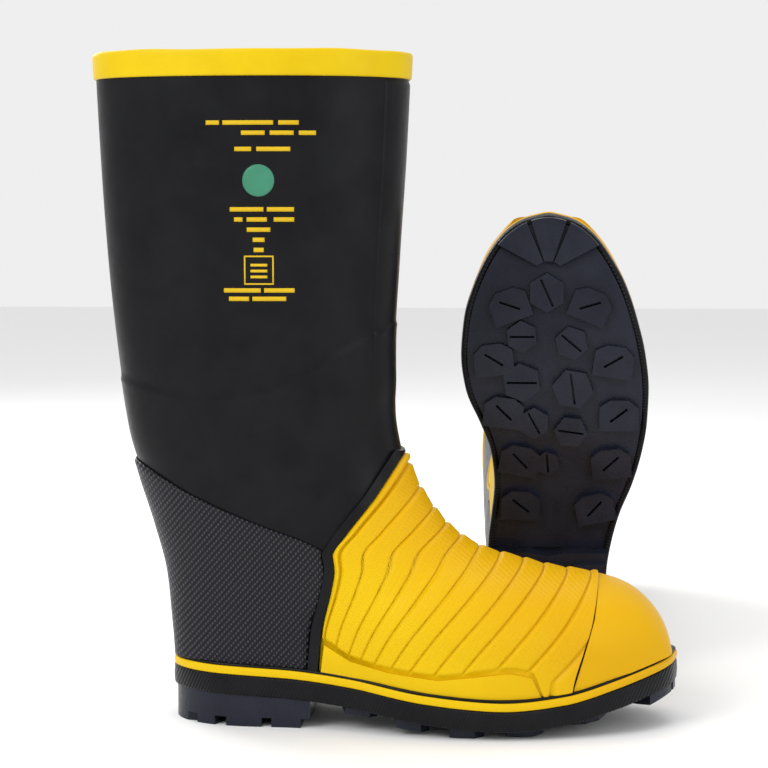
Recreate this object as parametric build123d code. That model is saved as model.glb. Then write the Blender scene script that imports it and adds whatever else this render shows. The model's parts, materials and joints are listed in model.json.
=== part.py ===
"""A pair of knee-high rubber fire boots: the right boot stands, the left lies on its back behind it.

One boot is modelled in its own frame, in millimetres: X from heel to toe, Y across, Z up.
The heel seat's centre on the ground is the origin, and the lateral side of the right boot is -Y.
The left boot is its mirror image, turned so that its sole faces -Y and its toe points up.
"""

import math
import os

import numpy as np
from build123d import *

# ---- driving dimensions -------------------------------------------------------------------
BOOT_HEIGHT = 408.0  # ground to rim
HEEL_BACK = -42.0  # rearmost point of the outsole
TOE_TIP = 270.0  # foremost point of the outsole
LUG_DEPTH = 5.5  # how far the tread stands out of the sole plate
SHELL = 2.4  # thickness of the black rubber upper
LINING = 4.0  # thickness of the insulated fabric lining
OVERLAY = 2.6  # thickness of the moulded covers on the upper
PANEL = 1.2  # thickness of the shin panel
BINDING = 1.6  # thickness of the binding round the rim
STEEL_CAP = 2.0  # thickness of the safety toe cap
GUARD = 1.8  # thickness of the metatarsal guard
SHANK = 1.6  # thickness of the steel shank
BREAST = 47.0  # front of the heel
HEEL_TOP = 21.0  # height of the heel block
COUNTER = 1.3  # thickness of the heel stiffener
PLATE = 0.8  # thickness of the puncture-resistant midsole
BOARD = 2.4  # thickness of the insole board
INSOLE = 6.0  # thickness of the loose footbed
INSOLE_ROOM = 2.4  # gap between the edge of the footbed and the lining
INSOLE_LIFT = 12.4  # how far the footbed can lift
INSOLE_END = 246.0  # X of the footbed's front end
GAP = 0.15  # clearance round pieces that are not bonded
ANKLE_X, ANKLE_Z = 20.0, 120.0  # where the ankle bends
ANKLE_R = 100.0  # radius of the cut that lets the leg turn on the foot
JOINT_GAP = 0.3  # clearance of that cut on each side
BAND_HEIGHT = 16.0  # yellow binding round the rim
SOLE_STACK = 6.0  # welt line down to the top of the outsole
RAND_HEIGHT = 12.5  # black bumper strip under the stripe
RAND_WIDTH = 4.0
STRIPE_HALF = 2.5  # half the height of the yellow stripe
PIPING = 1.6  # black line above the stripe
PAIR_BEHIND = 104.0  # the left boot's sole stands this far behind the right boot's centre line
PAIR_FORWARD = 190.0  # the left boot's centre line, forward of the right boot's heel centre
REST_TILT = 9.0  # the left boot lies on its heel edge and calf, so its sole leans this much, in degrees
REST_X, REST_Z = -40.2, 1.0  # the heel edge it lies on, in the boot's own frame
WIDE = 90.0  # half width of every cutting block
TALL = 500.0

# ---- shape of the boot, as smooth curves through a few stations ---------------------------
# Welt line: where the upper meets the sole, as height over X.
WELT = [
    (-60, 35.5), (-20, 35), (30, 33), (75, 29), (118, 23), (165, 20), (200, 23), (232, 31), (255, 37.5),
    (290, 47),
]
# Underside of the tread in front of the heel.
TREAD = [
    (40, 14), (60, 12), (85, 8), (108, 3.5), (135, 0.4), (165, 0), (190, 2.2), (215, 6), (240, 12),
    (262, 19.5), (290, 30),
]
# Outline of the sole seen from above: X, lateral half width, medial half width.
OUTLINE = [
    (-42, 0, 0), (-40.5, 9, 9), (-35, 19, 19), (-25, 28.5, 28.5), (-10, 36, 36), (10, 39, 39), (32, 40, 39.5),
    (52, 43, 39), (72, 48, 36.6), (92, 55.5, 34.8), (115, 61.5, 37), (135, 64.5, 44), (158, 65.3, 53.5),
    (180, 63, 56.5), (205, 57, 54.5), (225, 50, 48.5), (243, 40, 40), (256, 30, 30.5), (265.5, 17, 17.5),
    (270, 0, 0),
]
# Sections of the upper from rim to toe: front or ridge point, back or sole point, roundness at each.
SECTIONS = [
    ((106.3, 440), (-89.3, 440), 2.2, 2.3), ((102.2, 350), (-85.0, 348), 2.2, 2.3),
    ((98.0, 285), (-80.5, 280), 2.2, 2.3), ((95.0, 225), (-74.0, 218), 2.2, 2.3),
    ((95.6, 190), (-68.5, 180), 2.2, 2.3), ((99.5, 166), (-60.5, 150), 2.2, 2.3),
    ((107.0, 146), (-51.0, 120), 2.2, 2.3), ((117.0, 130), (-43.5, 90), 2.2, 2.3),
    ((129.0, 116.5), (-40.0, 55), 2.2, 2.5), ((141.0, 108), (-36.0, 22), 2.2, 3.2),
    ((153.0, 102.5), (5.0, 17), 2.2, 4.5), ((165.0, 99), (50.0, 13), 2.2, 5.0),
    ((177.0, 95.5), (95.0, 10), 2.2, 5.0), ((190.0, 92), (135.0, 7), 2.2, 5.0),
    ((205.0, 89.5), (170.0, 6), 2.2, 5.0), ((220.0, 87.5), (200.0, 9), 2.2, 4.5),
    ((233.0, 83.5), (223.0, 15), 2.2, 4.0), ((244.5, 76.5), (240.0, 20), 2.2, 3.6),
    ((253.5, 66), (251.5, 24.5), 2.3, 3.2), ((260.0, 53), (259.5, 28), 2.4, 3.0),
    ((263.5, 42), (263.5, 32), 2.6, 2.8),
]
# Half width of the leg over height.
LEG_WIDTH = [(90, 41.5), (130, 42.5), (170, 43.5), (220, 46), (290, 49), (350, 50.5), (408, 51)]
FOOT_INSET = 4.5  # the upper stands this far inside the sole's outline
SECTION_POINTS = 20
SECTION_COUNT = 22
MIN_SECTION = 4.0  # inner surfaces keep at least this much height at the toe


def curve(stations, column=1):
    """A smooth function through stations, by monotone cubic pieces."""
    xs = np.array([s[0] for s in stations], float)
    ys = np.array([s[column] for s in stations], float)
    steps = np.diff(xs)
    slopes = np.diff(ys) / steps
    tangents = np.empty(len(xs))
    tangents[0], tangents[-1] = slopes[0], slopes[-1]
    for i in range(1, len(xs) - 1):
        a, b = slopes[i - 1], slopes[i]
        tangents[i] = 0.0 if a * b <= 0 else 2 * a * b / (a + b)

    def value(x):
        i = int(np.clip(np.searchsorted(xs, x) - 1, 0, len(steps) - 1))
        t = float(np.clip((x - xs[i]) / steps[i], 0, 1))
        a, b = ys[i], ys[i + 1]
        ma, mb = tangents[i] * steps[i], tangents[i + 1] * steps[i]
        return (
            (2 * t**3 - 3 * t**2 + 1) * a + (t**3 - 2 * t**2 + t) * ma
            + (-2 * t**3 + 3 * t**2) * b + (t**3 - t**2) * mb
        )

    return value


welt = curve(WELT)
tread = curve(TREAD)
outline_lateral = curve(OUTLINE, 1)
outline_medial = curve(OUTLINE, 2)
leg_width = curve(LEG_WIDTH)


def smooth(low, high, x):
    t = min(1.0, max(0.0, (x - low) / (high - low)))
    return t * t * (3 - 2 * t)


def foot_width(x, side):
    """Half width of the foot part of the upper; side is -1 lateral, +1 medial."""
    held = max(x, 12.0)  # behind the heel's middle the sections themselves close the shape
    full = outline_lateral(held) if side < 0 else outline_medial(held)
    return full - FOOT_INSET


def half_width(x, z, side):
    share = smooth(45.0, 150.0, z - max(0.0, x - 90.0) * 0.9)
    return foot_width(x, side) * (1 - share) + leg_width(max(z, 90.0)) * share


def even_sections(count):
    """The sections resampled at even steps from the rim to the toe."""
    rows = [(*front, *back, p, q) for front, back, p, q in SECTIONS]
    travel = [0.0]
    for r, q in zip(rows, rows[1:]):
        travel.append(travel[-1] + math.dist(r[:2], q[:2]) / 2 + math.dist(r[2:4], q[2:4]) / 2)
    tracks = [curve([(t, row[k]) for t, row in zip(travel, rows)]) for k in range(6)]
    return [[track(t) for track in tracks] for t in np.linspace(0, travel[-1], count)]


def section_ring(section, offset):
    """One closed section of the upper as a ring of points, moved outward by offset."""
    ax, az, bx, bz, round_front, round_back = section
    a, b = np.array([ax, az]), np.array([bx, bz])
    length = np.linalg.norm(b - a)
    along = (b - a) / length
    toe_share = smooth(200.0, 262.0, ax)
    reach_out = max(offset, (MIN_SECTION - length) / 2)
    a, b = a - along * reach_out, b + along * reach_out
    if az > BOOT_HEIGHT:  # inner surfaces run out through the top of outer ones
        a[1], b[1] = az - offset, bz - offset
    if az < 100:
        a[0] += offset * toe_share
        b[0] += offset * toe_share
    points = []
    for k in range(SECTION_POINTS):
        angle = 2 * math.pi * k / SECTION_POINTS
        c, s = math.cos(angle), math.sin(angle)
        roundness = round_front if c > 0 else round_back
        reach = math.copysign(abs(c) ** (2 / roundness), c)
        spread = math.copysign(abs(s) ** (2 / roundness), s)
        x, z = (a + b) / 2 + (a - b) / 2 * reach
        side = -1 if s < 0 else 1
        width = half_width(min(x - offset * toe_share, 262.5), z, side) + offset
        points.append(Vector(x, spread * width, z))
    return [*points, points[0]]


def section_wire(section, offset):
    """The ring as four smooth edges that meet at its front, back and sides."""
    ring = section_ring(section, offset)
    quarter = SECTION_POINTS // 4
    along, across = (ring[2 * quarter] - ring[0]).normalized(), Vector(0, 1, 0)
    tangents = [across, along, across * -1, along * -1, across]
    knots = [float(t) for t in np.linspace(0, 1, quarter + 1)]  # shared by every section
    edges = []
    for k in range(4):
        points = ring[k * quarter : (k + 1) * quarter + 1]
        edges.append(Edge.make_spline(points, tangents=(tangents[k], tangents[k + 1]), parameters=knots))
    return Wire(edges)


def envelope(offset):
    """The closed outer shape of the whole upper, moved outward by offset."""
    return Solid.make_loft([section_wire(s, offset) for s in even_sections(SECTION_COUNT)])


def profile_slab(low, high):
    """Everything between two height curves over X, across the full width."""
    xs = np.linspace(-150, 300, 16)  # the same for every slab, so that slabs stack without gaps
    bottom = [Vector(x, 0, low(x)) for x in xs]
    top = [Vector(x, 0, high(x)) for x in xs]
    lower, upper = Edge.make_spline(bottom), Edge.make_spline(top)
    ends = [Edge.make_line(bottom[-1], top[-1]), Edge.make_line(top[0], bottom[0])]
    face = Face(Wire([lower, ends[0], upper, ends[1]]))
    return Solid.extrude(face, Vector(0, 2 * WIDE, 0)).moved(Location((0, -WIDE, 0)))


def above(shift, ceiling=TALL):
    """Everything above the welt line moved up by shift."""
    return profile_slab(lambda x: welt(x) + shift, lambda x: ceiling)


def between(shape, x_from, x_to):
    return shape & side_prism([(x_from, -50), (x_to, -50), (x_to, 200), (x_from, 200)])


def outline_points(offset, count=36):
    """The sole's outline, moved outward by offset, as points round it."""
    dense = []
    for side in (-1, 1):
        width = outline_lateral if side < 0 else outline_medial
        ts = np.linspace(0, math.pi, 160)
        xs = [HEEL_BACK + (TOE_TIP - HEEL_BACK) * (1 - math.cos(t)) / 2 for t in ts]
        row = [(x, side * width(x)) for x in xs]
        dense += row if side < 0 else row[::-1][1:-1]
    ring = np.array(dense)
    lengths = np.r_[0, np.cumsum(np.linalg.norm(np.diff(np.vstack([ring, ring[:1]]), axis=0), axis=1))]
    wanted = np.linspace(0, lengths[-1], count, endpoint=False)
    closed = np.vstack([ring, ring[:1]])
    spots = np.c_[np.interp(wanted, lengths, closed[:, 0]), np.interp(wanted, lengths, closed[:, 1])]
    ahead, behind = np.roll(spots, -1, 0), np.roll(spots, 1, 0)
    tangent = ahead - behind
    tangent /= np.linalg.norm(tangent, axis=1)[:, None]
    return spots + np.c_[tangent[:, 1], -tangent[:, 0]] * offset


def outline_block(offset, low=-5.0, high=70.0):
    """A straight-sided block on the sole's outline."""
    points = [Vector(x, y, low) for x, y in outline_points(offset)]
    face = Face(Wire([Edge.make_spline(points, periodic=True)]))
    return Solid.extrude(face, Vector(0, 0, high - low))


def side_prism(points, y_from=-WIDE, y_to=WIDE):
    """A side-view polygon, X and Z, carried across the boot."""
    face = Face(Wire.make_polygon([Vector(x, y_from, z) for x, z in points], close=True))
    return Solid.extrude(face, Vector(0, y_to - y_from, 0))


def ankle_cylinder(radius):
    return Solid.make_cylinder(radius, 2 * WIDE, Plane(origin=(ANKLE_X, WIDE, ANKLE_Z), z_dir=(0, -1, 0)))


def foot_side(shape):
    """What belongs to the foot at the ankle bend."""
    leg_block = side_prism([(-200, ANKLE_Z + 28), (200, ANKLE_Z + 28), (200, TALL), (-200, TALL)])
    return shape - (leg_block - ankle_cylinder(ANKLE_R - JOINT_GAP))


def leg_side(shape):
    """What belongs to the leg at the ankle bend."""
    foot_block = side_prism([(-200, -20), (320, -20), (320, ANKLE_Z + 28), (-200, ANKLE_Z + 28)])
    return shape - foot_block - ankle_cylinder(ANKLE_R + JOINT_GAP)


# ---- regions of the moulded covers, in side view -------------------------------------------
VAMP_EDGE = [(103, 166), (86, 140), (70, 120), (60.5, 106), (62, 97), (60, 84), (54, 60), (51, 30)]
TOE_LINE = [(224, 110), (218, 70), (206, 30), (203, 0)]
PATCH_TOP = [(-90, 170), (-62, 160), (-25, 141), (15, 124), (45, 113), (59, 106)]
PIPE_WIDTH = 6.0  # black strip behind the rear edge of the vamp
SHIN_EDGE = [(91, 186), (84.5, 225), (87.5, 290), (91.5, 350), (95, 391)]


def vamp_region():
    return side_prism([*VAMP_EDGE, (51, -20), (203, -20), *TOE_LINE[::-1], (224, 200), (103, 200)])


def toe_region():
    return side_prism([*TOE_LINE, (203, -20), (320, -20), (320, 200), (224, 200)])


def piping_region():
    behind = [(x - PIPE_WIDTH, z + 1.5) for x, z in VAMP_EDGE]
    return side_prism([*VAMP_EDGE, *behind[::-1]])


def patch_region():
    front = [(x - 0.5, z) for x, z in VAMP_EDGE[3:]]
    return side_prism([*PATCH_TOP, *front, (50.5, -20), (-120, -20), (-120, 170)])


def shin_region():
    return side_prism([*SHIN_EDGE, (140, 391), (140, 150), (91, 150)])


def side_guard_region():
    top_edge = [(53, 30), (56, 52), (72, 43), (95, 38), (125, 35), (150, 38), (168, 40), (181, 37), (188, 22)]
    return side_prism([*top_edge, (188, 0), (53, 0)])


# ---- tread ---------------------------------------------------------------------------------
def hexagon(x, y, radius, turn, slot_turn):
    """A six-sided stud with a slot across it."""
    stud = Pos(x, y) * Rot(0, 0, turn) * RegularPolygon(radius, 6)
    return stud - Pos(x, y) * Rot(0, 0, slot_turn) * Rectangle(radius * 1.5, 1.4)


def side_lug(x, y, turn, side):
    """An edge cleat: a block with two cut corners and one slanted groove."""
    block = Polygon((-10, -17), (6, -17), (10.5, -10), (10.5, 2), (5, 8.5), (-10, 8.5), align=None)
    groove = Pos(0.5, -4.5) * Rot(0, 0, 52) * Rectangle(14, 1.6)
    lug = block - groove
    placed = lug if side > 0 else mirror(lug, Plane.XZ)
    return Pos(x, y) * Rot(0, 0, turn) * placed


# X, distance from the edge of the plate, turn in degrees
LATERAL_LUGS = [(212, 24, -22), (177, 17, -8), (142, 14.5, 0), (109, 14.5, 6), (77, 14, 12)]
MEDIAL_LUGS = [(212, 24, 20), (178, 17, 7), (144, 15, -7), (111, 14, -10), (78, 14, -2)]
STUDS = [
    (222, 1, 12.5, 0, 25), (194, 17, 10.5, 5, 90), (190, -15, 11.0, 12, 50),
    (164, 17, 13.0, 8, 90), (160, -16, 13.5, 20, 8), (137, 9, 10.5, 0, 28), (131, -15, 11.0, 24, 82),
    (109, 0, 8.5, 10, 5),
]


def forefoot_tread():
    """Plan of the cleats in front of the heel."""
    plan = Sketch()
    for x, inset, turn in LATERAL_LUGS:
        plan += side_lug(x, -(outline_lateral(x) - inset), turn, -1)
    for x, inset, turn in MEDIAL_LUGS:
        plan += side_lug(x, outline_medial(x) - inset, turn, 1)
    for stud in STUDS:
        plan += hexagon(*stud)
    rays = [(-62, -24), (-19, 19), (24, 62)]
    for low, high in rays:
        turns = [math.radians(a) for a in (low, high)]
        corners = [(234.0 + 70 * math.cos(a), 70 * math.sin(a)) for a in turns]
        near = [(236.5 + 5.5 * math.cos(a), 8.5 * math.sin(a)) for a in turns]
        plan += Polygon(near[0], corners[0], corners[1], near[1], align=None)
    return plan


def heel_tread():
    """Plan of the heel's cleats: a centre pad, a breast row and blocks round the back."""
    plan = Pos(-1, 0) * Rectangle(30, 26)
    plan += Pos(33, 0) * Rectangle(16, 22)
    for side in (-1, 1):
        plan += Pos(32, side * 28) * Rectangle(18, 22)
        plan += Pos(6, side * 30) * Rectangle(22, 22)
        plan += Pos(-17, side * 27) * Rot(0, 0, side * 20) * Rectangle(13, 24)
        plan += Pos(-32, side * 12) * Rot(0, 0, side * 10) * Rectangle(18, 18)
    return plan


def carry_up(plan, low, high):
    return extrude(Pos(0, 0, low) * plan, high - low)


# ---- the pieces ------------------------------------------------------------------------------
def build_boot():
    """Every piece of one right boot, as name to shape."""
    outer, inside, cavity = envelope(0), envelope(-SHELL), envelope(-SHELL - LINING)
    cover = envelope(OVERLAY)
    upper = above(-SOLE_STACK, BOOT_HEIGHT)
    made = {}

    # strips round the edge
    edge, plate_edge = outline_block(0), outline_block(-RAND_WIDTH)
    top = lambda x: welt(x) - SOLE_STACK
    stripe_low, stripe_high = lambda x: welt(x) - STRIPE_HALF, lambda x: welt(x) + STRIPE_HALF
    bumper = (edge - plate_edge) & profile_slab(lambda x: stripe_low(x) - RAND_HEIGHT, top)
    made["rand"] = bumper + ((edge - outer) & profile_slab(top, stripe_low))
    made["yellow_stripe"] = (outline_block(-0.2) - outer) & profile_slab(stripe_low, stripe_high)
    piping_zone = profile_slab(stripe_high, lambda x: stripe_high(x) + PIPING)
    made["stripe_piping"] = (outline_block(-0.8) - outer) & piping_zone

    # sole
    plate_low = lambda x: tread(x) + LUG_DEPTH
    plate = between(plate_edge & profile_slab(plate_low, top), BREAST, 300)
    over_heel = profile_slab(lambda x: min(HEEL_TOP, top(x) - 4), top)
    plate += between(plate_edge & over_heel, -80, BREAST)
    lugs = carry_up(forefoot_tread(), -5, 40) & profile_slab(tread, lambda x: plate_low(x) + 1)
    lugs = between(lugs & outline_block(-1.2), BREAST + 4, 300)
    under_shank = profile_slab(lambda x: top(x) - SHANK, lambda x: top(x) + 1)
    shank_room = Pos(62, 0, 24) * Box(96, 14, 40) & under_shank
    made["outsole"] = plate + lugs - made["rand"] - shank_room
    made["steel_shank"] = shank_room & profile_slab(lambda x: top(x) - SHANK, top)
    heel_slab = profile_slab(lambda x: LUG_DEPTH, lambda x: HEEL_TOP)
    heel_edge = outline_block(-2.0)
    breast_cut = Pos(BREAST + 30, 0, 0) * Cylinder(32, 80)
    filler = Pos(-1, 0, 15) * Box(44, 40, 10)
    heel_cleats = carry_up(heel_tread(), 0, LUG_DEPTH + 1) & heel_edge
    heel = between(heel_edge & heel_slab, -80, BREAST) + heel_cleats
    made["heel_block"] = heel - breast_cut - filler - made["rand"] - made["outsole"]
    made["heel_filler"] = filler

    # upper, in layers from the outside in
    shell = (outer - inside) & upper
    made["foot_shell"] = foot_side(shell)
    made["leg_shell"] = leg_side(shell)
    skin = (cover - outer) & above(STRIPE_HALF + PIPING)
    lateral_half = Pos(100, -WIDE, 60) * Box(500, 2 * WIDE, 240)
    guards = skin & vamp_region() & side_guard_region()
    made["ribbed_vamp"] = (skin & vamp_region()) - side_guard_region()
    made["lateral_side_guard"] = guards & lateral_half
    made["medial_side_guard"] = guards - lateral_half
    made["toe_cover"] = skin & toe_region()
    made["vamp_piping"] = (skin & piping_region()) - vamp_region()
    made["heel_patch"] = (skin & patch_region()) - piping_region()
    panel = (envelope(PANEL) - outer) & shin_region()
    made["shin_panel"] = leg_side(panel)

    # stiffeners between shell and lining
    on_board = above(-SOLE_STACK + PLATE + BOARD, BOOT_HEIGHT)
    lining = (inside - cavity) & on_board
    cap_zone = side_prism([(215, 110), (203, 0), (300, 0), (300, 110)])
    cap_shell = (inside - envelope(-SHELL - STEEL_CAP)) & on_board
    made["steel_toe_cap"] = cap_shell & cap_zone
    edge_zone = side_prism([(211, 110), (199, 0), (203, 0), (215, 110)])
    made["toe_cap_gasket"] = cap_shell & edge_zone
    guard_zone = side_prism([(108, 135), (96, 122), (122, 84), (196, 55), (206, 62), (210.6, 110)])
    made["metatarsal_guard"] = ((inside - envelope(-SHELL - GUARD)) & guard_zone) - edge_zone - cap_zone
    counter_zone = side_prism([(-90, 0), (20, 0), (28, 40), (8, 78), (-90, 92)])
    made["heel_counter"] = (inside - envelope(-SHELL - COUNTER)) & on_board & counter_zone
    for name in ("steel_toe_cap", "toe_cap_gasket", "metatarsal_guard", "heel_counter"):
        lining = lining - made[name]
    made["foot_lining"] = foot_side(lining)
    made["leg_lining"] = leg_side(lining)

    # under the foot
    made["steel_midsole"] = inside & profile_slab(top, lambda x: top(x) + PLATE)
    made["insole_board"] = inside & profile_slab(
        lambda x: top(x) + PLATE, lambda x: top(x) + PLATE + BOARD)
    base = PLATE + BOARD + GAP
    footbed_slab = profile_slab(lambda x: top(x) + base, lambda x: top(x) + base + INSOLE)
    room = envelope(-SHELL - LINING - INSOLE_ROOM)
    footbed = room & footbed_slab & (Pos(0, 0, -INSOLE_LIFT) * room)  # clear of the lining as it lifts
    made["insole"] = between(footbed, -80, INSOLE_END)

    # leg
    band_low = BOOT_HEIGHT - BAND_HEIGHT
    band_zone = side_prism([(-150, band_low), (150, band_low), (150, BOOT_HEIGHT), (-150, BOOT_HEIGHT)])
    made["top_binding"] = (envelope(BINDING) - outer) & band_zone
    return made


def lying_place():
    """Where the left boot lies: sole toward -Y, toe up, on its heel edge."""
    lean = math.radians(REST_TILT)
    toe_way, leg_way = Vector(0, -math.sin(lean), math.cos(lean)), Vector(0, math.cos(lean), math.sin(lean))
    heel_edge = toe_way * REST_X + leg_way * REST_Z
    return Plane(origin=(PAIR_FORWARD, PAIR_BEHIND, -heel_edge.Z), x_dir=toe_way, z_dir=leg_way).location


def solid_pieces(shape):
    """One shape holding the solids of a result, without crumbs left by cutting."""
    solids = [s for s in shape.solids() if s.volume > 20]
    return solids[0] if len(solids) == 1 else Compound(solids)


os.makedirs("parts", exist_ok=True)
left_place = lying_place()
for piece, shape in build_boot().items():
    right = solid_pieces(shape)
    left = mirror(right, Plane.XZ).moved(left_place)
    export_step(right, f"parts/right_{piece}.step", write_pcurves=False)
    export_step(left, f"parts/left_{piece}.step", write_pcurves=False)
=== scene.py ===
import json
import math

import bpy
import numpy as np
from mathutils import Matrix, Vector


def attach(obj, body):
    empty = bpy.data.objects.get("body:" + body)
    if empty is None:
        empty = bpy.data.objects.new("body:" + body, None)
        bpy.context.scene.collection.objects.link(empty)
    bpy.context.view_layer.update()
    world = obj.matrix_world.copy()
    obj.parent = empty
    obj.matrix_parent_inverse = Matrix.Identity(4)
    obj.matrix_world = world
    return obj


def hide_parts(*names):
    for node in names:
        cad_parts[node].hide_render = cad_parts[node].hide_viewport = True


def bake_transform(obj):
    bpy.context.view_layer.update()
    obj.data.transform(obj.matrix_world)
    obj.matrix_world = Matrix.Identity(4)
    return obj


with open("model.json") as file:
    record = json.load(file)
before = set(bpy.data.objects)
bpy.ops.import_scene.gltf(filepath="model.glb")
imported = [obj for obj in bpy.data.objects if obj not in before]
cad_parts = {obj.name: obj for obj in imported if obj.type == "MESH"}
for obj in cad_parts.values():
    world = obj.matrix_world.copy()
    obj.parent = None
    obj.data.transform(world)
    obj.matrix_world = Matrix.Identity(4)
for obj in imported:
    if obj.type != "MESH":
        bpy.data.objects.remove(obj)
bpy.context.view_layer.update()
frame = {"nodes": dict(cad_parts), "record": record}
MM = 0.001

# ---- one boot's shape, in millimetres in its own frame: X to the toe, Z up, lateral side -Y --
# These are the stations that the CAD surfaces are drawn through.
WELT = [
    (-60, 35.5), (-20, 35), (30, 33), (75, 29), (118, 23), (165, 20), (200, 23), (232, 31), (255, 37.5),
    (290, 47),
]
OUTLINE = [
    (-42, 0, 0), (-40.5, 9, 9), (-35, 19, 19), (-25, 28.5, 28.5), (-10, 36, 36), (10, 39, 39), (32, 40, 39.5),
    (52, 43, 39), (72, 48, 36.6), (92, 55.5, 34.8), (115, 61.5, 37), (135, 64.5, 44), (158, 65.3, 53.5),
    (180, 63, 56.5), (205, 57, 54.5), (225, 50, 48.5), (243, 40, 40), (256, 30, 30.5), (265.5, 17, 17.5),
    (270, 0, 0),
]
SECTIONS = [
    ((106.3, 440), (-89.3, 440), 2.2, 2.3), ((102.2, 350), (-85.0, 348), 2.2, 2.3),
    ((98.0, 285), (-80.5, 280), 2.2, 2.3), ((95.0, 225), (-74.0, 218), 2.2, 2.3),
    ((95.6, 190), (-68.5, 180), 2.2, 2.3), ((99.5, 166), (-60.5, 150), 2.2, 2.3),
    ((107.0, 146), (-51.0, 120), 2.2, 2.3), ((117.0, 130), (-43.5, 90), 2.2, 2.3),
    ((129.0, 116.5), (-40.0, 55), 2.2, 2.5), ((141.0, 108), (-36.0, 22), 2.2, 3.2),
    ((153.0, 102.5), (5.0, 17), 2.2, 4.5), ((165.0, 99), (50.0, 13), 2.2, 5.0),
    ((177.0, 95.5), (95.0, 10), 2.2, 5.0), ((190.0, 92), (135.0, 7), 2.2, 5.0),
    ((205.0, 89.5), (170.0, 6), 2.2, 5.0), ((220.0, 87.5), (200.0, 9), 2.2, 4.5),
    ((233.0, 83.5), (223.0, 15), 2.2, 4.0), ((244.5, 76.5), (240.0, 20), 2.2, 3.6),
    ((253.5, 66), (251.5, 24.5), 2.3, 3.2), ((260.0, 53), (259.5, 28), 2.4, 3.0),
    ((263.5, 42), (263.5, 32), 2.6, 2.8),
]
LEG_WIDTH = [(90, 41.5), (130, 42.5), (170, 43.5), (220, 46), (290, 49), (350, 50.5), (408, 51)]
VAMP_REAR = [
    (30, 51), (60, 54), (84, 60), (97, 62), (106, 60.5), (120, 70), (140, 86), (166, 103), (180, 111),
]
PATCH_TOP = [(-95, 171), (-62, 160), (-25, 141), (15, 124), (45, 113), (62, 104)]
TOE_LINE = [(0, 203), (30, 206), (70, 218), (110, 224), (180, 230)]
GUARD_TOP = [
    (40, 56), (56, 52), (72, 43), (95, 38), (125, 35), (150, 38), (168, 40), (181, 37), (188, 22), (200, 10),
]
PANEL_LINE = [(-90, 216), (-60, 207), (-20, 200), (20, 205), (60, 224), (110, 252)]
RIB_CRESTS = [109.4, 118, 126, 135, 147.4, 160.3, 174.4, 187.3, 201.4, 216]  # along the ridge of the vamp
FOOT_INSET = 4.5
MIN_SECTION = 4.0
SHELL, LINING = 2.4, 4.0
RIM = 408.0
BAND = 16.0
PIPE_WIDTH = 6.0
GUARD_HEIGHT = 35.0  # about how high the side guards reach
FOOTBED_LOW, FOOTBED_HIGH = -2.5, 3.3  # the footbed's bottom and top, above the welt line
FOOTBED_LIFT = 12.6  # how far it lifts, with a little room


def curve(stations, column=1):
    """A smooth function through stations, by monotone cubic pieces."""
    xs = np.array([s[0] for s in stations], float)
    ys = np.array([s[column] for s in stations], float)
    steps = np.diff(xs)
    slopes = np.diff(ys) / steps
    tangents = np.r_[slopes[0], np.zeros(len(xs) - 2), slopes[-1]]
    for i in range(1, len(xs) - 1):
        a, b = slopes[i - 1], slopes[i]
        tangents[i] = 0.0 if a * b <= 0 else 2 * a * b / (a + b)

    def value(x):
        x = np.asarray(x, float)
        i = np.clip(np.searchsorted(xs, x) - 1, 0, len(steps) - 1)
        t = np.clip((x - xs[i]) / steps[i], 0, 1)
        a, b, ma, mb = ys[i], ys[i + 1], tangents[i] * steps[i], tangents[i + 1] * steps[i]
        return (
            (2 * t**3 - 3 * t**2 + 1) * a + (t**3 - 2 * t**2 + t) * ma
            + (-2 * t**3 + 3 * t**2) * b + (t**3 - t**2) * mb
        )

    return value


def smooth(low, high, x):
    t = np.clip((x - low) / (high - low), 0, 1)
    return t * t * (3 - 2 * t)


welt = curve(WELT)
lateral_width, medial_width = curve(OUTLINE, 1), curve(OUTLINE, 2)
leg_width = curve(LEG_WIDTH)
vamp_rear, toe_line = curve(VAMP_REAR), curve(TOE_LINE)
guard_top, panel_line, patch_top = curve(GUARD_TOP), curve(PANEL_LINE), curve(PATCH_TOP)

section_rows = [(*front, *back, p, q) for front, back, p, q in SECTIONS]
section_travel = [0.0]
for row, following in zip(section_rows, section_rows[1:]):
    step = math.dist(row[:2], following[:2]) / 2 + math.dist(row[2:4], following[2:4]) / 2
    section_travel.append(section_travel[-1] + step)
LENGTH = section_travel[-1]
TRACKS = [curve([(t, row[k]) for t, row in zip(section_travel, section_rows)]) for k in range(6)]


def half_width(x, z, side):
    """Half the upper's width, from the foot's to the leg's. side is negative on the outer side."""
    share = smooth(45.0, 150.0, z - np.maximum(0.0, x - 90.0) * 0.9)
    held = np.maximum(x, 12.0)
    foot = np.where(side < 0, lateral_width(held), medial_width(held)) - FOOT_INSET
    return foot * (1 - share) + leg_width(np.maximum(z, 90.0)) * share


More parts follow.
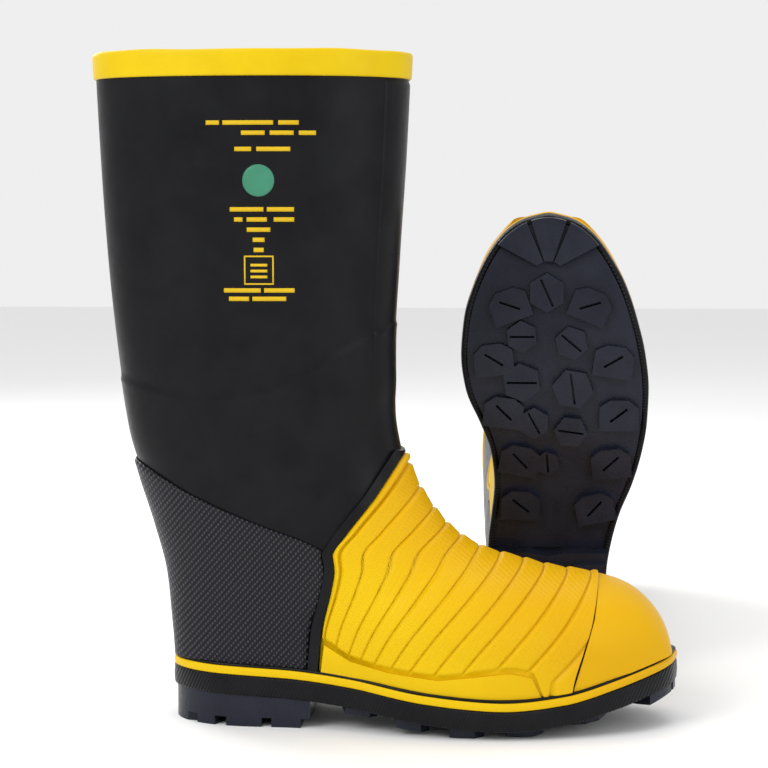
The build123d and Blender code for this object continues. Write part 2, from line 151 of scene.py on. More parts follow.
def surface(u, v, offset=0.0):
    """Points of the upper: u is the travel from rim to toe, v the angle round it, 0 at the front."""
    u, v, offset = np.broadcast_arrays(np.asarray(u, float), np.asarray(v, float), np.asarray(offset, float))
    ax, az, bx, bz, pf, pb = [track(u) for track in TRACKS]
    toe = smooth(200.0, 262.0, ax)
    length = np.hypot(bx - ax, bz - az)
    dx, dz = (bx - ax) / length, (bz - az) / length
    reach = np.maximum(offset, (MIN_SECTION - length) / 2)
    ax, az, bx, bz = ax - dx * reach, az - dz * reach, bx + dx * reach, bz + dz * reach
    ax = ax + np.where(az < 100, offset * toe, 0)
    bx = bx + np.where(az < 100, offset * toe, 0)
    c, s = np.cos(v), np.sin(v)
    power = 2 / np.where(c > 0, pf, pb)
    along = np.sign(c) * np.abs(c) ** power
    spread = np.sign(s) * np.abs(s) ** power
    x = (ax + bx) / 2 + (ax - bx) / 2 * along
    z = (az + bz) / 2 + (az - bz) / 2 * along
    width = half_width(np.minimum(x - offset * toe, 262.5), z, np.where(s < 0, -1, 1)) + offset
    return np.stack([x, spread * width, z], -1)


def travel_at(height):
    """The travel whose section crosses the boot's front at this height on the leg."""
    us = np.linspace(0, LENGTH * 0.6, 2000)
    return float(np.interp(-height, -TRACKS[1](us), us))


# ---- the two boots' places ------------------------------------------------------------------
def boot_matrix(side):
    """From a boot's own frame, in millimetres, to the row frame, in metres."""
    if side == "right":
        return Matrix.Scale(MM, 4)
    rest = next(m for m in frame["record"]["mounts"] if m["name"] == "left_heel_rest")
    leg_way = -Vector(rest["axis"])
    across = Vector((1, 0, 0))
    toe_way = across.cross(leg_way)
    turn = Matrix((toe_way, across, leg_way)).transposed().to_4x4()
    mirror = Matrix.Diagonal((1, -1, 1, 1))
    return Matrix.Translation(rest["pos_m"]) @ turn @ mirror @ Matrix.Scale(MM, 4)


PLACES = {side: boot_matrix(side) for side in ("right", "left")}


def place_points(points, side):
    m = np.array(PLACES[side])
    return np.asarray(points).reshape(-1, 3) @ m[:3, :3].T + m[:3, 3]


def make_mesh(name, points, faces, side, material):
    """A piece from points in the boot's own frame. The left boot is the mirror image."""
    if side == "left":
        faces = [f[::-1] for f in faces]
    mesh = bpy.data.meshes.new(name)
    mesh.from_pydata(place_points(points, side).tolist(), [], faces)
    mesh.validate()
    mesh.polygons.foreach_set("use_smooth", [True] * len(mesh.polygons))
    obj = bpy.data.objects.new(name, mesh)
    bpy.context.scene.collection.objects.link(obj)
    mesh.materials.append(material)
    return obj


def grid_faces(rows, columns, closed):
    """Faces of a grid, wound so that they look outward."""
    faces = []
    for i in range(rows - 1):
        for j in range(columns if closed else columns - 1):
            k = (j + 1) % columns
            quad = (i * columns + j, (i + 1) * columns + j, (i + 1) * columns + k, i * columns + k)
            faces.append(quad)
    return faces


def thicken(obj, inward_mm):
    mod = obj.modifiers.new("thickness", "SOLIDIFY")
    mod.thickness = inward_mm * MM
    mod.offset = -1
    mod.use_even_offset = False
    return obj


def bend(obj):
    """Bakes the piece's placement into its mesh."""
    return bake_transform(obj)


# ---- materials ---------------------------------------------------------------------------------
class Nodes:
    """Short ways to wire a procedural material in a boot's own frame."""

    def __init__(self, name, side):
        self.material = bpy.data.materials.new(name)
        self.material.use_nodes = True
        self.tree = self.material.node_tree
        self.shader = self.tree.nodes["Principled BSDF"]
        where = self.new("ShaderNodeTexCoord")
        local = self.new("ShaderNodeMapping", vector_type="TEXTURE")
        self.link(where.outputs["Object"], local.inputs["Vector"])
        place = PLACES[side]
        if side == "left":
            turn = (place @ Matrix.Scale(1 / MM, 4) @ Matrix.Diagonal((1, -1, 1, 1))).to_3x3().normalized()
            local.inputs["Location"].default_value = place.translation
            local.inputs["Rotation"].default_value = turn.to_euler()
            local.inputs["Scale"].default_value = (MM, -MM, MM)
        else:
            local.inputs["Scale"].default_value = (MM, MM, MM)
        self.at = local.outputs["Vector"]
        split = self.new("ShaderNodeSeparateXYZ")
        self.link(self.at, split.inputs[0])
        self.x, self.y, self.z = split.outputs

    def new(self, kind, **settings):
        node = self.tree.nodes.new(kind)
        for key, value in settings.items():
            setattr(node, key, value)
        return node

    def link(self, source, target):
        self.tree.links.new(source, target)

    def math(self, operation, a, b=0.0, c=0.0):
        node = self.new("ShaderNodeMath", operation=operation)
        for socket, value in zip(node.inputs, (a, b, c)):
            if isinstance(value, (int, float)):
                socket.default_value = value
            else:
                self.link(value, socket)
        return node.outputs[0]

    def noise(self, scale, detail=3.0, roughness=0.5):
        node = self.new("ShaderNodeTexNoise")
        self.link(self.at, node.inputs["Vector"])
        node.inputs["Scale"].default_value = scale
        node.inputs["Detail"].default_value = detail
        node.inputs["Roughness"].default_value = roughness
        return node.outputs["Fac"]

    def spread(self, value, low, high, from_low=0.3, from_high=0.7):
        node = self.new("ShaderNodeMapRange")
        self.link(value, node.inputs["Value"])
        ends = {"From Min": from_low, "From Max": from_high, "To Min": low, "To Max": high}
        for key, number in ends.items():
            node.inputs[key].default_value = number
        return node.outputs["Result"]

    def colours(self, fac, dark, light):
        node = self.new("ShaderNodeMix", data_type="RGBA")
        self.link(fac, node.inputs["Factor"])
        node.inputs["A"].default_value = (*dark, 1)
        node.inputs["B"].default_value = (*light, 1)
        return node.outputs["Result"]

    def bump(self, height, millimetres, below=None):
        node = self.new("ShaderNodeBump")
        node.inputs["Distance"].default_value = millimetres * MM
        node.inputs["Strength"].default_value = 1.0
        self.link(height, node.inputs["Height"])
        if below is not None:
            self.link(below, node.inputs["Normal"])
        return node.outputs["Normal"]

    def stripes(self, direction, pitch, sharp=1.0):
        """Ridges across a direction in the side view, 0 to 1."""
        a = math.radians(direction)
        along_x = self.math("MULTIPLY", self.x, math.cos(a))
        along_z = self.math("MULTIPLY", self.z, math.sin(a))
        run = self.math("ADD", along_x, along_z)
        wave = self.math("SINE", self.math("MULTIPLY", run, 2 * math.pi / pitch))
        return self.math("POWER", self.math("MULTIPLY_ADD", wave, 0.5, 0.5), sharp)


def rubber(name, side, dark, light, rough, grain=0.03, gloss=0.32):
    """Moulded rubber: faint cloudy tone, uneven polish and a fine grain."""
    n = Nodes(f"{name}_{side}", side)
    cloud = n.noise(0.035, 5.0, 0.6)
    n.link(n.colours(n.spread(cloud, 0, 1), dark, light), n.shader.inputs["Base Color"])
    polish = n.noise(0.09, 6.0, 0.65)
    n.link(n.spread(polish, rough[0], rough[1]), n.shader.inputs["Roughness"])
    n.shader.inputs["Specular IOR Level"].default_value = gloss
    soft = n.bump(n.noise(0.045, 2.0), 0.5)
    n.normal = n.bump(n.noise(2.6, 3.0, 0.6), grain, soft)
    n.link(n.normal, n.shader.inputs["Normal"])
    return n


def yellow_rubber(name, side):
    """Yellow rubber with painted shade: warmer and darker towards the toe and the ridge of the instep, where
    the surface turns from the light.
    """
    n = rubber(name, side, *YELLOW_AND_PAINTED_SHADE, (0.37, 0.49), 0.02, 0.12)
    # painted shade: plain yellow turns darker orange towards the toe and up the ridge, with a noisy edge
    run = n.math("ADD", n.x, n.math("MULTIPLY", n.z, 1.2))
    painted_shade_ramp = n.math("MULTIPLY_ADD", n.noise(0.03, 4.0, 0.6), 50.0, run)
    n.link(n.colours(n.spread(painted_shade_ramp, 0, 1, 205, 300), *YELLOW_AND_PAINTED_SHADE), n.shader.inputs["Base Color"])
    return n


def finish_normal(n, normal):
    n.link(normal, n.shader.inputs["Normal"])
    return n.material


BLACK = ((0.0040, 0.0041, 0.0050), (0.0080, 0.0081, 0.0095))
SOLE = ((0.007, 0.008, 0.016), (0.014, 0.016, 0.028))
YELLOW_AND_PAINTED_SHADE = ((0.68, 0.44, 0.002), (0.62, 0.34, 0.001))  # plain yellow low on the sides, and a darker orange painted shade on the toe and the ridge
RIM_YELLOW = ((0.60, 0.41, 0.002), (0.66, 0.46, 0.004))


def make_materials(side):
    made = {}
    made["black"] = rubber("black_rubber", side, *BLACK, (0.30, 0.42), gloss=0.11).material
    made["piping"] = rubber("piping_rubber", side, *BLACK, (0.28, 0.40), gloss=0.12).material
    made["yellow"] = yellow_rubber("yellow_rubber", side).material
    made["rim"] = rubber("rim_rubber", side, *RIM_YELLOW, (0.36, 0.48), 0.02, 0.12).material

    n = rubber("patch_rubber", side, *BLACK, (0.34, 0.44), 0.02, 0.16)
    rows = n.stripes(-42, 2.9, 2.5)
    dashes = n.stripes(28, 2.1, 0.7)
    studs = n.math("MULTIPLY", rows, dashes)
    # painted highlight and shade: the stud tops are painted lighter and the gaps between them darker
    n.link(n.colours(studs, (0.006, 0.006, 0.009), (0.075, 0.073, 0.085)), n.shader.inputs["Base Color"])
    made["patch"] = finish_normal(n, n.bump(studs, 0.8, n.normal))

    n = yellow_rubber("vamp_rubber", side)
    above_guard = n.spread(n.z, 0, 1, 36, 46)
    hatch = n.math("MULTIPLY", n.stripes(52, 1.9, 1.5), n.math("MULTIPLY_ADD", n.stripes(-30, 3.0), 0.6, 0.4))
    made["vamp"] = finish_normal(n, n.bump(n.math("MULTIPLY", hatch, above_guard), 0.16, n.normal))

    n = rubber("rand_rubber", side, *BLACK, (0.28, 0.40), 0.02, 0.12)
    made["rand"] = finish_normal(n, n.bump(n.stripes(-25, 1.9, 1.5), 0.25, n.normal))

    n = rubber("sole_rubber", side, *SOLE, (0.24, 0.38), 0.02, 0.2)
    lines = n.new("ShaderNodeTexVoronoi", feature="DISTANCE_TO_EDGE")
    n.link(n.at, lines.inputs["Vector"])
    lines.inputs["Scale"].default_value = 0.42
    crazing = n.spread(lines.outputs["Distance"], 0, 1, 0.0, 0.25)
    made["sole"] = finish_normal(n, n.bump(crazing, 0.05, n.normal))

    n = rubber("felt", side, (0.20, 0.18, 0.15), (0.34, 0.31, 0.26), (0.85, 0.98), 0.3, 0.2)
    n.shader.inputs["Sheen Weight"].default_value = 0.4
    made["felt"] = finish_normal(n, n.bump(n.noise(1.1, 8.0, 0.8), 0.6, n.normal))

    n = rubber("footbed_felt", side, (0.03, 0.03, 0.035), (0.07, 0.07, 0.08), (0.85, 0.98), 0.3, 0.2)
    made["footbed"] = finish_normal(n, n.bump(n.noise(0.9, 8.0, 0.8), 0.5, n.normal))
    n = rubber("sponge_rubber", side, (0.03, 0.03, 0.03), (0.07, 0.07, 0.07), (0.7, 0.9), 0.4, 0.3)
    made["foam"] = n.material
    n = rubber("guard_plastic", side, (0.05, 0.06, 0.08), (0.08, 0.09, 0.12), (0.4, 0.6), 0.04)
    made["plastic"] = n.material

    n = rubber("board", side, (0.34, 0.27, 0.16), (0.52, 0.43, 0.28), (0.8, 0.95), 0.1, 0.2)
    made["board"] = finish_normal(n, n.bump(n.noise(0.7, 9.0, 0.8), 0.2, n.normal))

    n = rubber("steel", side, (0.42, 0.43, 0.45), (0.58, 0.59, 0.60), (0.24, 0.4), 0.01)
    n.shader.inputs["Metallic"].default_value = 1.0
    made["steel"] = n.material

    n = rubber("print_ink", side, (0.56, 0.36, 0.005), (0.64, 0.42, 0.01), (0.45, 0.6), 0.02, 0.2)
    made["ink"] = n.material
    n = rubber("green_ink", side, (0.02, 0.16, 0.09), (0.04, 0.22, 0.13), (0.4, 0.55), 0.02, 0.4)
    made["green"] = n.material
    return made


MATERIALS = {side: make_materials(side) for side in ("right", "left")}
NODE_MATERIAL = {
    "outsole": "sole", "heel_block": "sole", "heel_filler": "foam", "steel_shank": "steel",
    "toe_cover": "yellow", "lateral_side_guard": "yellow", "medial_side_guard": "yellow",
    "vamp_piping": "piping", "steel_toe_cap": "steel", "toe_cap_gasket": "foam",
    "metatarsal_guard": "plastic", "heel_counter": "plastic", "steel_midsole": "steel",
    "insole_board": "board",
}
SOFT_EDGES = {  # edge radius of the nodes that show, in millimetres
    "outsole": 0.5, "heel_block": 0.7, "vamp_piping": 0.7, "lateral_side_guard": 0.8,
    "medial_side_guard": 0.8, "toe_cover": 0.5,
}

for side, materials in MATERIALS.items():
    for piece, material in NODE_MATERIAL.items():
        node = frame["nodes"][f"{side}_{piece}"]
        node.data.materials.clear()
        node.data.materials.append(materials[material])
        if piece in SOFT_EDGES:
            mod = node.modifiers.new("soft_edges", "BEVEL")
            mod.width = SOFT_EDGES[piece] * MM
            mod.segments = 2
            mod.limit_method = "ANGLE"
            mod.angle_limit = math.radians(35)
            mod.use_clamp_overlap = True


# ---- the upper, one skin from rim to toe ---------------------------------------------------------
def panel_relief(points):
    """The ankle part stands a little above the leg, up to a curved edge."""
    x, z = points[..., 0], points[..., 2]
    below = 1 - smooth(-1.6, 1.6, z - panel_line(x))
    bead = np.exp(-((z - panel_line(x)) / 1.3) ** 2)
    on_leg = smooth(150, 175, z)
    behind_bands = 1 - smooth(3.0, 5.5, z - welt(x))
    return on_leg * (0.55 * below + 0.5 * bead) - 1.6 * behind_bands


def skin_grid(offset, u_from, u_to, rows, columns, relief=None):
    us = np.linspace(u_from, u_to, rows)[:, None]
    vs = np.linspace(0, 2 * math.pi, columns, endpoint=False)[None, :]
    points = surface(us, vs, offset)
    if relief is not None:
        points = surface(us, vs, offset + relief(points))
    return points


def build_skin(name, side, offset, thickness, material, rows, columns, relief, floor_lift, nodes):
    """A sleeve: the part under the welt line is left open, as on the last."""
    points = skin_grid(offset, travel_at(RIM - 0.4), LENGTH, rows, columns, relief).reshape(-1, 3)
    floor = welt(points[:, 0]) - 6.0 + floor_lift
    sunk = points[:, 2] < floor
    points[:, 2] = np.maximum(points[:, 2], floor)
    faces = [f for f in grid_faces(rows, columns, True) if not sunk[list(f)].all()]
    obj = make_mesh(name, points, faces, side, material)
    thicken(obj, thickness)
    bend(obj)
    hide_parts(*nodes)
    return obj


def build_upper(side):
    m = MATERIALS[side]
    build_skin(f"{side}_upper", side, 0.0, SHELL - 0.1, m["black"], 260, 220, panel_relief, 0.2,
               [f"{side}_foot_shell", f"{side}_leg_shell"])
    build_skin(f"{side}_felt_lining", side, -SHELL - 0.3, LINING - 0.6, m["felt"], 130, 120, None, 3.6,
               [f"{side}_foot_lining", f"{side}_leg_lining"])


def build_shin_panel(side):
    """The raised panel down the front of the leg, laid over the upper."""
    rows, columns = 150, 44
    us = np.linspace(travel_at(RIM - BAND - 0.5), travel_at(190), rows)[:, None]
    vs = np.linspace(-0.56, 0.56, columns)[None, :]
    top_edge, foot_edge = np.arange(rows)[:, None] / 2.0, np.arange(rows)[::-1][:, None] / 16.0
    edge = np.minimum(np.arange(columns), np.arange(columns)[::-1])[None, :] / 1.6
    rise = smooth(0, 1, np.minimum(top_edge, edge)) * smooth(0, 1, foot_edge)
    base = surface(us, vs, 0.0)
    points = surface(us, vs, panel_relief(base) - 0.25 + 1.1 * rise)
    faces = grid_faces(rows, columns, False)
    obj = make_mesh(f"{side}_shin_strip", points, faces, side, MATERIALS[side]["black"])
    thicken(obj, 0.6)
    bend(obj)
    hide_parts(f"{side}_shin_panel")


def build_binding(side):
    """The yellow binding is folded over the rim and down inside it."""
    inner = -SHELL - LINING
    profile = [
        (0.1, RIM - BAND), (1.0, RIM - BAND + 0.1), (1.55, RIM - BAND + 0.7), (1.7, RIM - BAND + 2),
        (1.7, RIM - 8), (1.7, RIM - 2.2), (1.4, RIM - 0.9), (0.5, RIM - 0.1), (-2.5, RIM + 0.1),
        (inner + 1.0, RIM - 0.1),
        (inner - 0.4, RIM - 0.8), (inner - 0.8, RIM - 2.2), (inner - 0.8, RIM - 7), (inner - 0.3, RIM - 9),
        (inner + 0.3, RIM - 9.2), (inner + 0.3, RIM - 0.5), (0.05, RIM - 0.5), (0.1, RIM - BAND),
    ]
    dense = []
    for (o0, z0), (o1, z1) in zip(profile, profile[1:]):
        steps = max(1, int(math.dist((o0, z0), (o1, z1)) / 1.5))
        dense += [(o0 + (o1 - o0) * k / steps, z0 + (z1 - z0) * k / steps) for k in range(steps)]
    dense.append(profile[-1])
    columns = 240
    vs = np.linspace(0, 2 * math.pi, columns, endpoint=False)
    rings = []
    for offset, height in dense:
        ring = surface(travel_at(height), vs, offset)
        wave = 0.25 * np.sin(vs * 5 + 0.7) + 0.15 * np.sin(vs * 11)
        ring[:, 2] = height + wave * (height - RIM + BAND) / BAND
        rings.append(ring)
    rings = np.array(rings)[::-1]
    faces = grid_faces(len(dense), columns, True)
    obj = make_mesh(f"{side}_rim_binding", rings, faces, side, MATERIALS[side]["rim"])
    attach(obj, f"{side}_leg")
    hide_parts(f"{side}_top_binding")


# ---- the ribbed vamp -----------------------------------------------------------------------------
def vamp_share(points):
    """0 on the vamp's rear edge, 1 on the line where the toe cover starts."""
    rear, front = vamp_rear(points[..., 2]), toe_line(points[..., 2])
    return (points[..., 0] - rear) / (front - rear)


def rib_height(share, crests):
    """Overlapping steps: each rib rises slowly towards the toe side and drops behind its crest."""
    edges = np.r_[crests[0] - (crests[1] - crests[0]), crests, 1.06, 1.2]
    k = np.clip(np.searchsorted(edges, share) - 1, 0, len(edges) - 2)
    t = (share - edges[k]) / (edges[k + 1] - edges[k])
    groove = 1 - np.exp(-((t / 0.085) ** 2)) * 0.9 - np.exp(-(((1 - t) / 0.03) ** 2)) * 0.55
    return groove * (0.55 + 0.45 * (1 - t) ** 0.8)


def build_vamp(side):
    rows = 300
    upper_turns = np.linspace(0, math.pi / 2, 76, endpoint=False)
    # even steps down the side of a squarish section
    lower_turns = np.arccos(-(np.linspace(0, 0.985, 54) ** 2.5))
    half_turn = np.r_[upper_turns, lower_turns]
    vs = np.r_[-half_turn[:0:-1], half_turn]
    columns = len(vs)
    us = np.linspace(travel_at(200), LENGTH, 1400)
    share = vamp_share(surface(us[:, None], vs[None, :], 2.4))
    ridge = surface(us, np.zeros_like(us), 0.0)
    ridge_share = vamp_share(ridge)
    crests = np.interp(RIB_CRESTS, ridge[:, 0], ridge_share)
    wanted = np.linspace(0.0, 1.0, rows)
    grid_u = np.empty((rows, columns))
    for j in range(columns):
        grid_u[:, j] = np.interp(wanted, np.maximum.accumulate(share[:, j]), us)
    flat = surface(grid_u, vs[None, :], 2.4)
    guard_edge = guard_top(flat[..., 0])
    clear_of_guard = smooth(0.0, 5.0, flat[..., 2] - guard_edge)
    ridge_height = flat[:, columns // 2, 2][:, None]
    drop = np.clip((ridge_height - flat[..., 2]) / (ridge_height - GUARD_HEIGHT), 0, 1)
    slanted = wanted[:, None] + 0 * drop
    for _ in range(3):  # the ribs lean back as they run down the sides, most of all in the middle of the vamp
        slanted = wanted[:, None] + drop * (0.75 * slanted * (1 - slanted) + 0.14 * slanted)
    rib = rib_height(slanted, crests)
    ends = smooth(0, 0.012, wanted)[:, None] * smooth(0, 0.008, 1 - wanted)[:, None]
    height = 0.35 + ends * (0.5 + 0.5 * clear_of_guard) * (0.8 + 3.1 * rib * clear_of_guard)
    points = surface(grid_u, vs[None, :], height).reshape(-1, 3)
    floor = welt(points[:, 0]) + 4.2
    sunk = points[:, 2] < floor
    points[:, 2] = np.maximum(points[:, 2], floor)
    faces = [f for f in grid_faces(rows, columns, False) if not sunk[list(f)].all()]
    obj = make_mesh(f"{side}_vamp_ribs", points, faces, side, MATERIALS[side]["vamp"])
    thicken(obj, 0.3)
    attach(obj, f"{side}_foot")
    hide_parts(f"{side}_ribbed_vamp")


# ---- the bands round the edge of the sole ---------------------------------------------------------
def outline_ring(count):
    """The sole's outline, anticlockwise from the heel along the outer side, with its outward normals."""
    turn = np.linspace(0, math.pi, 400)
    xs = OUTLINE[0][0] + (OUTLINE[-1][0] - OUTLINE[0][0]) * (1 - np.cos(turn)) / 2
    outer = np.c_[xs, -lateral_width(xs)]
    inner = np.c_[xs, medial_width(xs)][::-1]
    ring = np.vstack([outer, inner[1:-1], outer[:1]])
    run = np.r_[0, np.cumsum(np.hypot(*np.diff(ring, axis=0).T))]
    wanted = np.linspace(0, run[-1], count, endpoint=False)
    spots = np.c_[np.interp(wanted, run, ring[:, 0]), np.interp(wanted, run, ring[:, 1])]
    for _ in range(6):
        spots = (np.roll(spots, 1, 0) + 2 * spots + np.roll(spots, -1, 0)) / 4
    ahead = np.roll(spots, -1, 0) - np.roll(spots, 1, 0)
    ahead /= np.linalg.norm(ahead, axis=1)[:, None]
    return spots, np.c_[ahead[:, 1], -ahead[:, 0]]


def build_edge_band(side, name, node, profile, material):
    """A rubber band round the sole. profile: how far out of the outline, and how far above the welt line."""
    spots, normals = outline_ring(520)
    closed = [*profile, profile[0]]
    rings = [np.c_[spots + normals * out, welt(spots[:, 0]) + lift] for out, lift in closed]
    faces = grid_faces(len(closed), len(spots), True)
    obj = make_mesh(f"{side}_{name}", np.array(rings), faces, side, MATERIALS[side][material])
    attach(obj, f"{side}_foot")
    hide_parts(f"{side}_{node}")


def rounded(outset, depth, low, high, corner):
    """A band's section, from the top down its outer side, with rounded corners and a slight belly."""
    arc = [math.radians(a) for a in (80, 60, 40, 20, 0)]
    top = [(outset - corner * (1 - math.cos(a)), high - corner * (1 - math.sin(a))) for a in arc]
    foot = [(out, low + high - lift) for out, lift in reversed(top)]
    belly = [(outset + 0.25, (low + high) / 2)]
    return [(outset - depth, high), *top, *belly, *foot, (outset - depth, low)]


def build_edge_bands(side):
    bumper = rounded(0.0, 3.9, -15.0, -2.45, 1.6)
    yellow_line = rounded(-0.1, 4.2, -2.5, 2.5, 0.9)
    black_line = rounded(-0.9, 3.4, 2.45, 4.1, 0.6)
    build_edge_band(side, "bumper", "rand", bumper, "rand")
    build_edge_band(side, "yellow_line", "yellow_stripe", yellow_line, "yellow")
    build_edge_band(side, "black_line", "stripe_piping", black_line, "piping")


# ---- the loose footbed ----------------------------------------------------------------------------
def level_outline(rise, offset, side_sign):
    """The outline, on one side, that the upper's offset surface has at this rise above the welt line."""
    us = np.linspace(LENGTH * 0.3, LENGTH, 500)[:, None]
    vs = np.linspace(0, math.pi, 500)[None, :] * side_sign
    points = surface(us, vs, offset)
    over = points[..., 2] - welt(points[..., 0]) - rise
    crossed = (over[:, 0] > 0) & (over[:, -1] < 0)
    points, over = points[crossed], over[crossed]
    after = (over < 0).argmax(1)
    rows = np.arange(len(over))
    share = over[rows, after - 1] / (over[rows, after - 1] - over[rows, after])
    ends = points[rows, after - 1] + share[:, None] * (points[rows, after] - points[rows, after - 1])
    order = np.argsort(ends[:, 0])
    return ends[order, 0], np.abs(ends[order, 1])


def build_footbed(side):
    """A foam footbed with a heel cup, small enough to stay clear of the lining as it lifts out."""
    clear = -SHELL - LINING - 2.1
    rises = [FOOTBED_LOW, FOOTBED_HIGH, FOOTBED_LOW + FOOTBED_LIFT, FOOTBED_HIGH + FOOTBED_LIFT]
    outlines = {sign: [level_outline(rise, clear, sign) for rise in rises] for sign in (-1, 1)}
    start = max(line[0][0] for lines in outlines.values() for line in lines) + 0.5
    stop = min(line[0][-1] for lines in outlines.values() for line in lines) - 0.5
    rows, half = 160, 34
    xs = start + (stop - start) * (1 - np.cos(np.linspace(0, math.pi, rows))) / 2
    reach = {sign: np.min([np.interp(xs, *line) for line in lines], 0) for sign, lines in outlines.items()}
    ends = np.clip(np.minimum(xs - start, stop - xs) / 5.0, 0, 1)
    thick = 1 - (1 - ends) ** 2
    across = np.linspace(1, -1, half)
    wide = np.where(across[None, :] > 0, reach[1][:, None], reach[-1][:, None]) * across[None, :]
    side_round = np.sqrt(np.clip(1 - np.abs(across) ** 10, 0, 1))[None, :] * thick[:, None]
    middle = (FOOTBED_LOW + FOOTBED_HIGH) / 2
    body = (FOOTBED_HIGH - FOOTBED_LOW) / 2
    cup = 1.7 * (1 - smooth(40, 95, xs))[:, None] * (1 - across[None, :] ** 2)
    ball = 0.8 * np.exp(-(((xs - 150) / 45) ** 2))[:, None] * (1 - across[None, :] ** 2)
    line = welt(xs)[:, None] + middle
    top = np.stack([xs[:, None] + 0 * wide, wide, line + body * side_round - cup - ball], -1)
    foot = np.stack([xs[:, None] + 0 * wide, wide, line - body * side_round], -1)[:, ::-1]
    loops = np.concatenate([top, foot[:, 1:-1]], 1)
    columns = loops.shape[1]
    faces = grid_faces(rows, columns, True)
    last = (rows - 1) * columns
    faces += [tuple(range(columns)), tuple(last + k for k in reversed(range(columns)))]
    obj = make_mesh(f"{side}_footbed_pad", loops, faces, side, MATERIALS[side]["footbed"])
    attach(obj, f"{side}_footbed")
    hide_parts(f"{side}_insole")


# ---- the heel patch -------------------------------------------------------------------------------
def build_patch(side):
    """The textured patch wraps the heel from one vamp edge to the other, under a slanted top edge."""
    rows, columns = 130, 300
    us = np.linspace(travel_at(290), LENGTH * 0.86, 700)
    turns = np.linspace(0, 1, 900)
    shares = np.linspace(0, 1, columns)
    around = np.empty((len(us), columns))
    for k, start in ((0, 2 * math.pi), (1, 0.0)):
        vs = start + (math.pi - start) * turns
        points = surface(us[:, None], vs[None, :], 0.0)
        ahead = points[..., 0] - (vamp_rear(points[..., 2]) - PIPE_WIDTH - 0.6)
        first = (ahead < 0).argmax(1)
        edge = vs[first]
        near = shares <= 0.5 if k == 0 else shares > 0.5
        part = shares[near] * 2 if k == 0 else (1 - shares[near]) * 2
        around[:, near] = edge[:, None] + (math.pi - edge[:, None]) * part[None, :]
    field = surface(us[:, None], around, 0.0)
    drop = patch_top(field[..., 0]) - field[..., 2]
    rise = field[..., 2] - (welt(field[..., 0]) + 4.4)
    grid_u, grid_v = np.empty((rows, columns)), np.empty((rows, columns))
    for j in range(columns):
        top = np.interp(0, np.maximum.accumulate(drop[:, j]), us)
        foot = np.interp(0, np.maximum.accumulate(-rise[:, j]), us)
        grid_u[:, j] = np.linspace(top, foot, rows)
        grid_v[:, j] = np.interp(grid_u[:, j], us, around[:, j])
    cross = np.minimum(np.arange(columns), np.arange(columns)[::-1])[None, :] / 3.0
    down = np.arange(rows)[:, None] / 2.0
    raised = smooth(0, 1, np.minimum(down, cross))
    points = surface(grid_u, grid_v, 0.3 + 1.2 * raised)
    faces = grid_faces(rows, columns, False)
    obj = make_mesh(f"{side}_ankle_patch", points, faces, side, MATERIALS[side]["patch"])
    thicken(obj, 1.0)
    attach(obj, f"{side}_foot")
    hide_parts(f"{side}_heel_patch")


# ---- printed marks on the outer side of the leg ----------------------------------------------------
def leg_point_finder():
    """Maps side-view places on the leg's outer side to travel and angle."""
    us = np.linspace(travel_at(405), travel_at(225), 400)
    vs = np.linspace(math.pi + 0.02, 2 * math.pi - 0.02, 500)
    grid = surface(us[:, None], vs[None, :], 0.0)

    def find(x, z):
        u = float(np.interp(-z, -TRACKS[1](us), us))
        for _ in range(3):
            row = surface(u, vs, 0.0)
            v = float(np.interp(x, row[:, 0], vs))
            u += (float(surface(u, v, 0.0)[2]) - z) * (us[-1] - us[0]) / float(grid[0, 0, 2] - grid[-1, 0, 2])
        return u, v

    return find


def strip(find, centre_x, centre_z, width, height, points, faces):
    """A printed bar that follows the leg's curve."""
    columns = max(2, int(width / 1.2) + 1)
    start = len(points)
    for z in (centre_z + height / 2, centre_z - height / 2):
        for x in np.linspace(centre_x - width / 2, centre_x + width / 2, columns):
            u, v = find(x, z)
            points.append(surface(u, v, 0.12))
    for k in range(columns - 1):
        a, b = start + k, start + columns + k
        faces.append((a, b, b + 1, a + 1))


def disc(find, centre_x, centre_z, radius):
    """A printed disc that follows the leg's curve, as rings round its centre."""
    spokes, rings = 48, 6
    points = [surface(*find(centre_x, centre_z), 0.12)]
    for ring in range(1, rings + 1):
        for k in range(spokes):
            turn = 2 * math.pi * k / spokes
            reach = radius * ring / rings
            place = find(centre_x + reach * math.cos(turn), centre_z + reach * math.sin(turn))
            points.append(surface(*place, 0.12))
    faces = [(0, 1 + k, 1 + (k + 1) % spokes) for k in range(spokes)]
    for ring in range(rings - 1):
        for k in range(spokes):
            a, b = 1 + ring * spokes + k, 1 + ring * spokes + (k + 1) % spokes
            faces.append((a, a + spokes, b + spokes, b))
    return points, faces


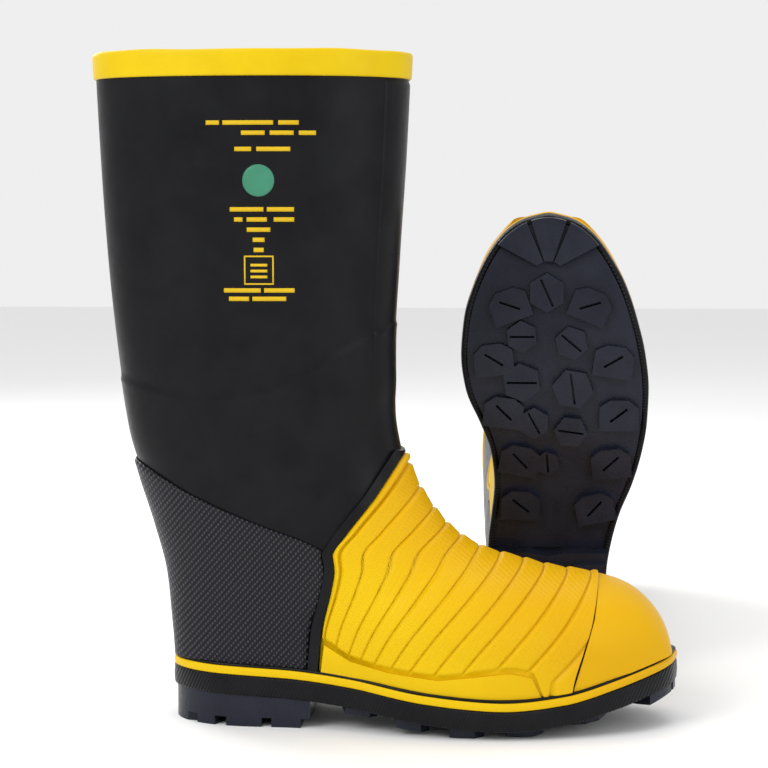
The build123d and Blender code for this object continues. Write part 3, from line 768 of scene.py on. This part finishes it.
def build_marks(side):
    """Rows of plain bars, a green disc and an outlined box with three bars, as a plain printed pattern."""
    find = leg_point_finder()
    middle = 18.0
    ink_points, ink_faces = [], []
    rows = [
        (364.5, [(-27, 8), (-6, 30), (18, 12)]), (358.5, [(-3, 14), (14, 14), (29, 10)]),
        (349.0, [(-9, 10), (9, 20)]),
        (313.5, [(-7, 20), (13, 16)]), (307.5, [(-12, 5), (-1, 12), (15, 12)]), (301.5, [(0, 14)]),
        (295.5, [(0, 7)]), (289.5, [(0, 6)]),
        (265.5, [(-10, 22), (12, 18)]), (260.5, [(-12, 12), (6, 20)]),
    ]
    for height, bars in rows:
        for offset, width in bars:
            strip(find, middle + offset, height, width, 2.6, ink_points, ink_faces)
    for sign in (-1, 1):
        strip(find, middle + sign * 8.4, 277.5, 0.9, 17.0, ink_points, ink_faces)
        strip(find, middle, 277.5 + sign * 8.2, 17.6, 0.9, ink_points, ink_faces)
    strip(find, middle, 280.5, 10, 1.6, ink_points, ink_faces)
    strip(find, middle, 277.0, 10, 1.6, ink_points, ink_faces)
    strip(find, middle, 273.5, 10, 1.6, ink_points, ink_faces)
    ink = make_mesh(f"{side}_yellow_print", ink_points, ink_faces, side, MATERIALS[side]["ink"])
    green_points, green_faces = disc(find, middle, 330.5, 9.5)
    green = make_mesh(f"{side}_green_print", green_points, green_faces, side, MATERIALS[side]["green"])
    for obj in (ink, green):
        thicken(obj, 0.1)
        bend(obj)


for side in ("right", "left"):
    build_upper(side)
    build_shin_panel(side)
    build_binding(side)
    build_vamp(side)
    build_patch(side)
    build_edge_bands(side)
    build_footbed(side)
    build_marks(side)

# ---- light, floor and camera ----------------------------------------------------------------------
def area_light(name, place, size, power, aim):
    data = bpy.data.lights.new(name, "AREA")
    data.size = size
    data.energy = power
    lamp = bpy.data.objects.new(name, data)
    lamp.location = place
    lamp.rotation_euler = (Vector(aim) - Vector(place)).to_track_quat("-Z", "Y").to_euler()
    bpy.context.scene.collection.objects.link(lamp)
    return lamp


def build_stage():
    mesh = bpy.data.meshes.new("floor")
    mesh.from_pydata([(-6, -6, 0), (6, -6, 0), (6, 6, 0), (-6, 6, 0)], [], [(0, 1, 2, 3)])
    floor = bpy.data.objects.new("floor", mesh)
    bpy.context.scene.collection.objects.link(floor)
    paint = bpy.data.materials.new("floor_paint")
    paint.use_nodes = True
    shader = paint.node_tree.nodes["Principled BSDF"]
    shader.inputs["Base Color"].default_value = (0.86, 0.86, 0.86, 1)
    shader.inputs["Roughness"].default_value = 0.7
    mesh.materials.append(paint)
    aim = (0.08, 0.05, 0.2)
    lamps = [
        area_light("key_light", (-1.3, -1.7, 1.7), 1.2, 30, aim),
        area_light("fill_light", (1.7, -1.5, 0.9), 1.4, 10, aim),
        area_light("top_light", (0.2, 0.3, 2.2), 1.6, 16, aim),
        area_light("rim_light", (-1.2, 1.4, 1.2), 0.9, 18, aim),
    ]
    world = bpy.data.worlds.new("studio")
    world.use_nodes = True
    world.node_tree.nodes["Background"].inputs["Color"].default_value = (1, 1, 1, 1)
    world.node_tree.nodes["Background"].inputs["Strength"].default_value = 0.86
    bpy.context.scene.world = world
    bpy.context.scene.view_settings.view_transform = "Standard"


def build_camera():
    turn, dip = math.radians(4.0), math.radians(4.4)
    distance, height = 1.345, 0.31
    data = bpy.data.cameras.new("camera")
    data.lens = 102.8
    data.sensor_width = 36
    camera = bpy.data.objects.new("camera", data)
    camera.location = (0.089 + distance * math.sin(turn), -distance * math.cos(turn), height)
    camera.rotation_euler = (math.pi / 2 - dip, 0, turn)
    bpy.context.scene.collection.objects.link(camera)
    bpy.context.scene.camera = camera


build_stage()
build_camera()
